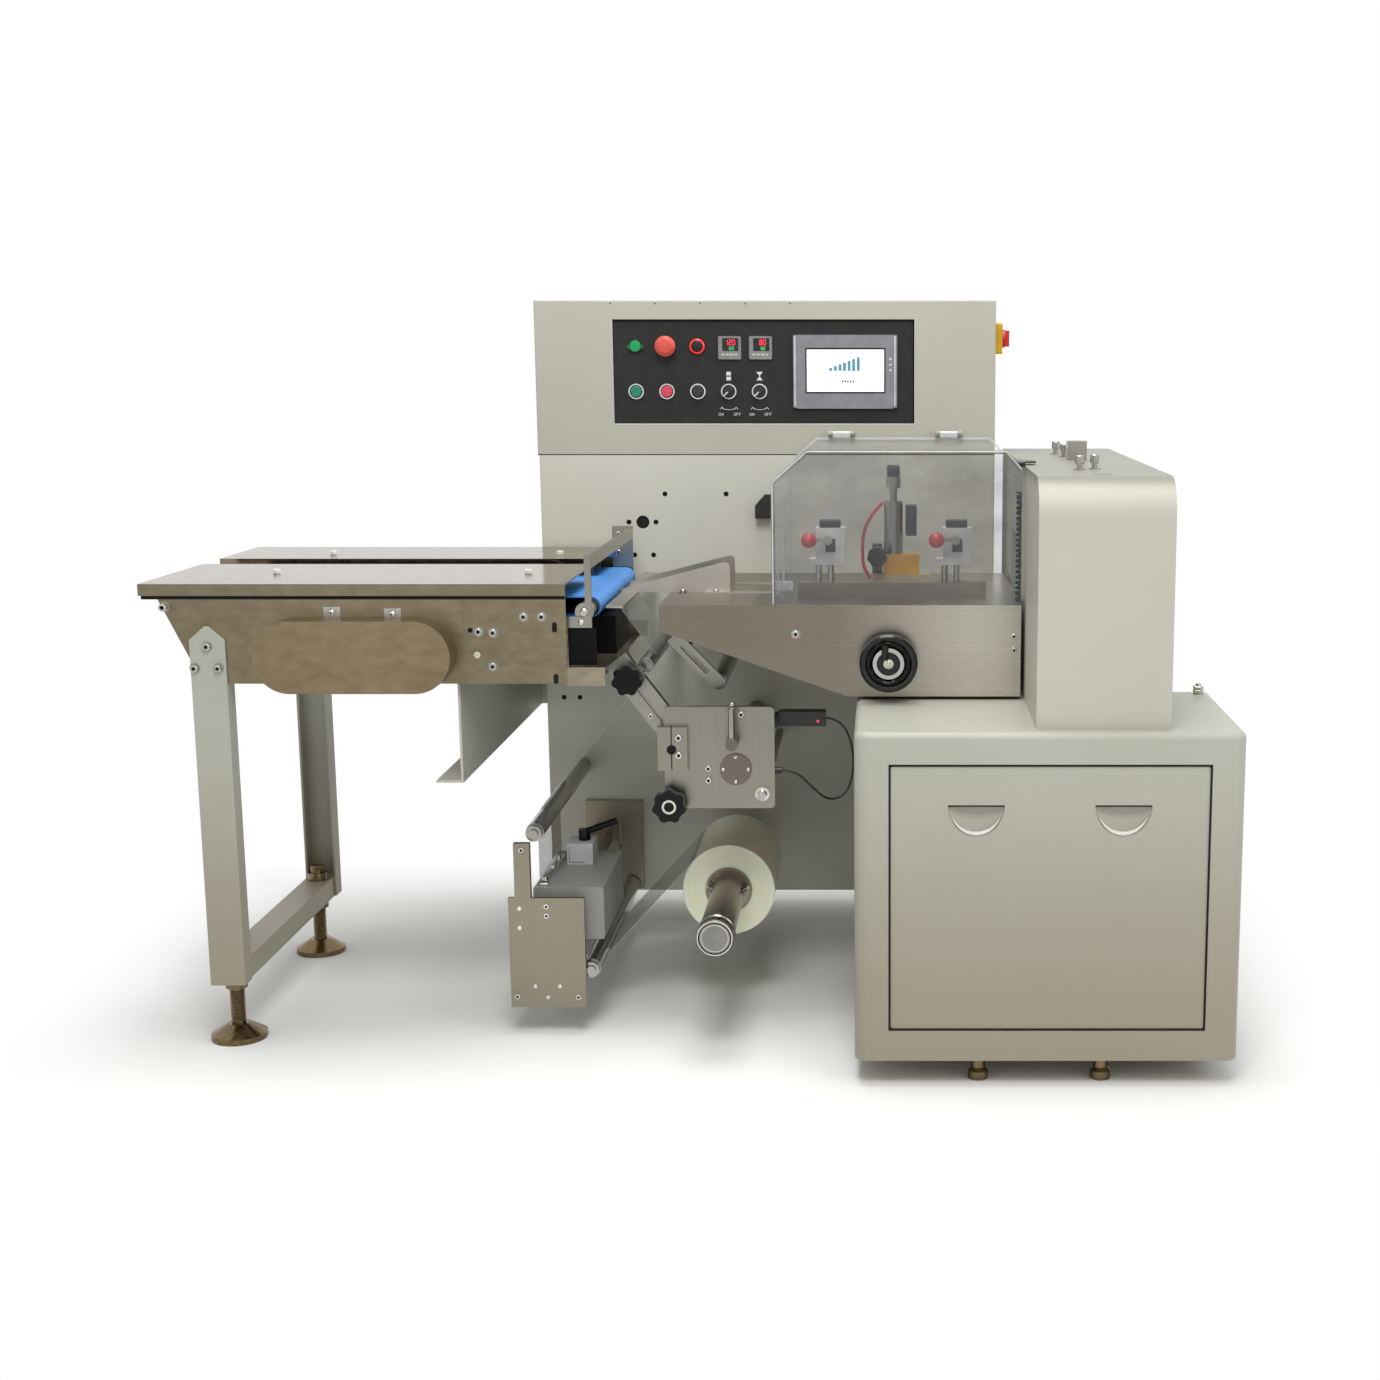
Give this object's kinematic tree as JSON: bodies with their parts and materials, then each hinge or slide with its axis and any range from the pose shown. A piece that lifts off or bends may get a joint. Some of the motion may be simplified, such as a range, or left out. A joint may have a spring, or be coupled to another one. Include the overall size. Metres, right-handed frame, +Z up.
{
  "type": "horizontal flow wrapper",
  "caption": "Bench-height packaging machine that folds film from a reel into a tube round products, seals it along a guarded bed and cuts it between rotary jaws",
  "frame": {"origin": "on the floor under the middle of the machine's overall box", "axes": "+X runs with the product from the infeed to the jaws, +Y points away from the operator, +Z is up"},
  "size_m": [1.83, 1.09, 1.293],
  "materials": {
    "painted_sheet": "semi-gloss powder coat",
    "stainless": "brushed along its length",
    "bright_steel": "turned and polished",
    "milled_aluminium": "milled",
    "black_plastic": "fine grain",
    "black_steel": "satin",
    "grey_plastic": "fine grain",
    "red_plastic": "gloss",
    "green_plastic": "gloss",
    "yellow_plastic": "gloss",
    "blue_plastic": "satin",
    "belt_blue": "smooth",
    "clear_acrylic": "polished",
    "film": "clear plastic film",
    "film_wound": "wound film",
    "hose_red": "smooth",
    "cable_black": "smooth",
    "foot_brass": "zinc plated, yellow passivated"
  },
  "bodies": {
    "machine": {"rear_cabinet": "painted_sheet", "control_box": "painted_sheet", "control_panel": "black_plastic", "touch_screen": "grey_plastic", "temperature_controllers": "black_plastic", "main_switch": "yellow_plastic", "centre_frame": "painted_sheet", "levelling_feet": "foot_brass", "base_cabinet": "painted_sheet", "base_panel": "painted_sheet", "jaw_housing": "painted_sheet", "sealing_bed": "stainless", "guard_mounts": "black_plastic", "seal_frame": "milled_aluminium", "seal_heater": "yellow_plastic", "seal_hose": "hose_red", "infeed_plate_front": "stainless", "infeed_plate_back": "stainless", "infeed_frame": "stainless", "infeed_chain": "black_steel", "drive_cover": "stainless", "infeed_leg": "painted_sheet", "side_bracket": "painted_sheet", "transfer_belt": "belt_blue", "belt_frame": "black_steel", "photocell_arch": "bright_steel", "photocell": "blue_plastic", "film_former": "bright_steel", "film_carriage": "milled_aluminium", "roller_arms": "milled_aluminium", "coder_frame": "stainless", "coder_body": "grey_plastic", "film_sensor": "black_plastic", "sensor_cable": "cable_black", "film_web": "film"},
    "guard": {"guard_front": "clear_acrylic", "guard_canopy": "clear_acrylic"},
    "hand_wheel": {"hand_wheel": "black_plastic"},
    "reel": {"reel_shaft": "bright_steel", "film_roll": "film_wound"},
    "upper_roller": {"upper_roller": "bright_steel"},
    "lower_roller": {"lower_roller": "bright_steel"},
    "arm_roller": {"arm_roller": "bright_steel"},
    "link_roller": {"link_roller": "bright_steel"},
    "arm_knob": {"arm_knob": "black_plastic"},
    "low_knob": {"low_knob": "black_plastic"},
    "seal_knob": {"seal_knob": "black_plastic"},
    "upper_jaw": {"upper_jaw": "bright_steel"},
    "lower_jaw": {"lower_jaw": "bright_steel"},
    "coder_lever": {"coder_lever": "black_plastic"},
    "seal_lever_left": {"seal_lever_left": "red_plastic"},
    "seal_lever_right": {"seal_lever_right": "red_plastic"},
    "left_selector": {"left_selector": "black_plastic"},
    "right_selector": {"right_selector": "black_plastic"},
    "main_switch_knob": {"main_switch_knob": "red_plastic"},
    "mark_button": {"mark_button": "green_plastic"},
    "start_button": {"start_button": "green_plastic"},
    "stop_button": {"stop_button": "red_plastic"},
    "jog_button": {"jog_button": "black_plastic"},
    "emergency_stop": {"emergency_stop": "red_plastic"}
  },
  "joints": [
    {"name": "guard_hinge", "type": "hinge", "parent": "machine", "child": "guard", "pos_m": [0.355, 0.272, 1.034], "axis": [-1, 0, 0], "range_deg": [0, 75]},
    {"name": "hand_wheel_turn", "type": "hinge", "parent": "machine", "child": "hand_wheel", "pos_m": [0.341, -0.29, 0.665], "axis": [0, 1, 0], "continuous": true},
    {"name": "reel_turn", "type": "hinge", "parent": "machine", "child": "reel", "pos_m": [0.049, 0, 0.222], "axis": [0, 1, 0], "continuous": true},
    {"name": "upper_roller_turn", "type": "hinge", "parent": "machine", "child": "upper_roller", "pos_m": [-0.28, 0, 0.362], "axis": [0, 1, 0], "continuous": true},
    {"name": "lower_roller_turn", "type": "hinge", "parent": "machine", "child": "lower_roller", "pos_m": [-0.185, 0, 0.115], "axis": [0, 1, 0], "continuous": true},
    {"name": "arm_roller_turn", "type": "hinge", "parent": "machine", "child": "arm_roller", "pos_m": [-0.086, 0, 0.65], "axis": [0, 1, 0], "continuous": true},
    {"name": "link_roller_turn", "type": "hinge", "parent": "machine", "child": "link_roller", "pos_m": [0.034, 0, 0.606], "axis": [0, 1, 0], "continuous": true},
    {"name": "arm_knob_turn", "type": "hinge", "parent": "machine", "child": "arm_knob", "pos_m": [-0.11, -0.27, 0.634], "axis": [0, 1, 0], "continuous": true},
    {"name": "low_knob_turn", "type": "hinge", "parent": "machine", "child": "low_knob", "pos_m": [-0.04, -0.28, 0.414], "axis": [0, 1, 0], "continuous": true},
    {"name": "seal_knob_turn", "type": "hinge", "parent": "machine", "child": "seal_knob", "pos_m": [0.321, -0.12, 0.832], "axis": [0, 1, 0], "continuous": true},
    {"name": "upper_jaw_turn", "type": "hinge", "parent": "machine", "child": "upper_jaw", "pos_m": [0.6865, 0, 0.8535], "axis": [0, 1, 0], "continuous": true},
    {"name": "lower_jaw_turn", "type": "hinge", "parent": "machine", "child": "lower_jaw", "pos_m": [0.6865, 0, 0.7205], "axis": [0, 1, 0], "continuous": true},
    {"name": "coder_lever_turn", "type": "hinge", "parent": "machine", "child": "coder_lever", "pos_m": [-0.2218, -0.091, 0.31], "axis": [0, 0, 1], "range_deg": [-60, 45]},
    {"name": "seal_lever_left_lift", "type": "hinge", "parent": "machine", "child": "seal_lever_left", "pos_m": [0.233, -0.12, 0.861], "axis": [0, 1, 0], "range_deg": [0, 25]},
    {"name": "seal_lever_right_lift", "type": "hinge", "parent": "machine", "child": "seal_lever_right", "pos_m": [0.461, -0.12, 0.861], "axis": [0, 1, 0], "range_deg": [0, 25]},
    {"name": "left_selector_turn", "type": "hinge", "parent": "machine", "child": "left_selector", "pos_m": [0.026, 0.285, 1.116], "axis": [0, 1, 0], "range_deg": [-90, 0]},
    {"name": "right_selector_turn", "type": "hinge", "parent": "machine", "child": "right_selector", "pos_m": [0.087, 0.285, 1.116], "axis": [0, 1, 0], "range_deg": [-90, 0]},
    {"name": "main_switch_turn", "type": "hinge", "parent": "machine", "child": "main_switch_knob", "pos_m": [0.572, 0.4, 1.2195], "axis": [1, 0, 0], "range_deg": [0, 90]},
    {"name": "mark_button_press", "type": "slide", "parent": "machine", "child": "mark_button", "axis": [0, 1, 0], "range_m": [0, 0.003], "stiffness_N_per_m": 300, "springref_m": -0.0005},
    {"name": "start_button_press", "type": "slide", "parent": "machine", "child": "start_button", "axis": [0, 1, 0], "range_m": [0, 0.003], "stiffness_N_per_m": 300, "springref_m": -0.0005},
    {"name": "stop_button_press", "type": "slide", "parent": "machine", "child": "stop_button", "axis": [0, 1, 0], "range_m": [0, 0.003], "stiffness_N_per_m": 300, "springref_m": -0.0005},
    {"name": "jog_button_press", "type": "slide", "parent": "machine", "child": "jog_button", "axis": [0, 1, 0], "range_m": [0, 0.003], "stiffness_N_per_m": 300, "springref_m": -0.0005},
    {"name": "emergency_stop_press", "type": "slide", "parent": "machine", "child": "emergency_stop", "axis": [0, 1, 0], "range_m": [0, 0.005], "stiffness_N_per_m": 400, "springref_m": -0.0005}
  ],
  "couplings": [
    {"joint": "lower_jaw_turn", "follows": "upper_jaw_turn", "ratio": -1}
  ]
}
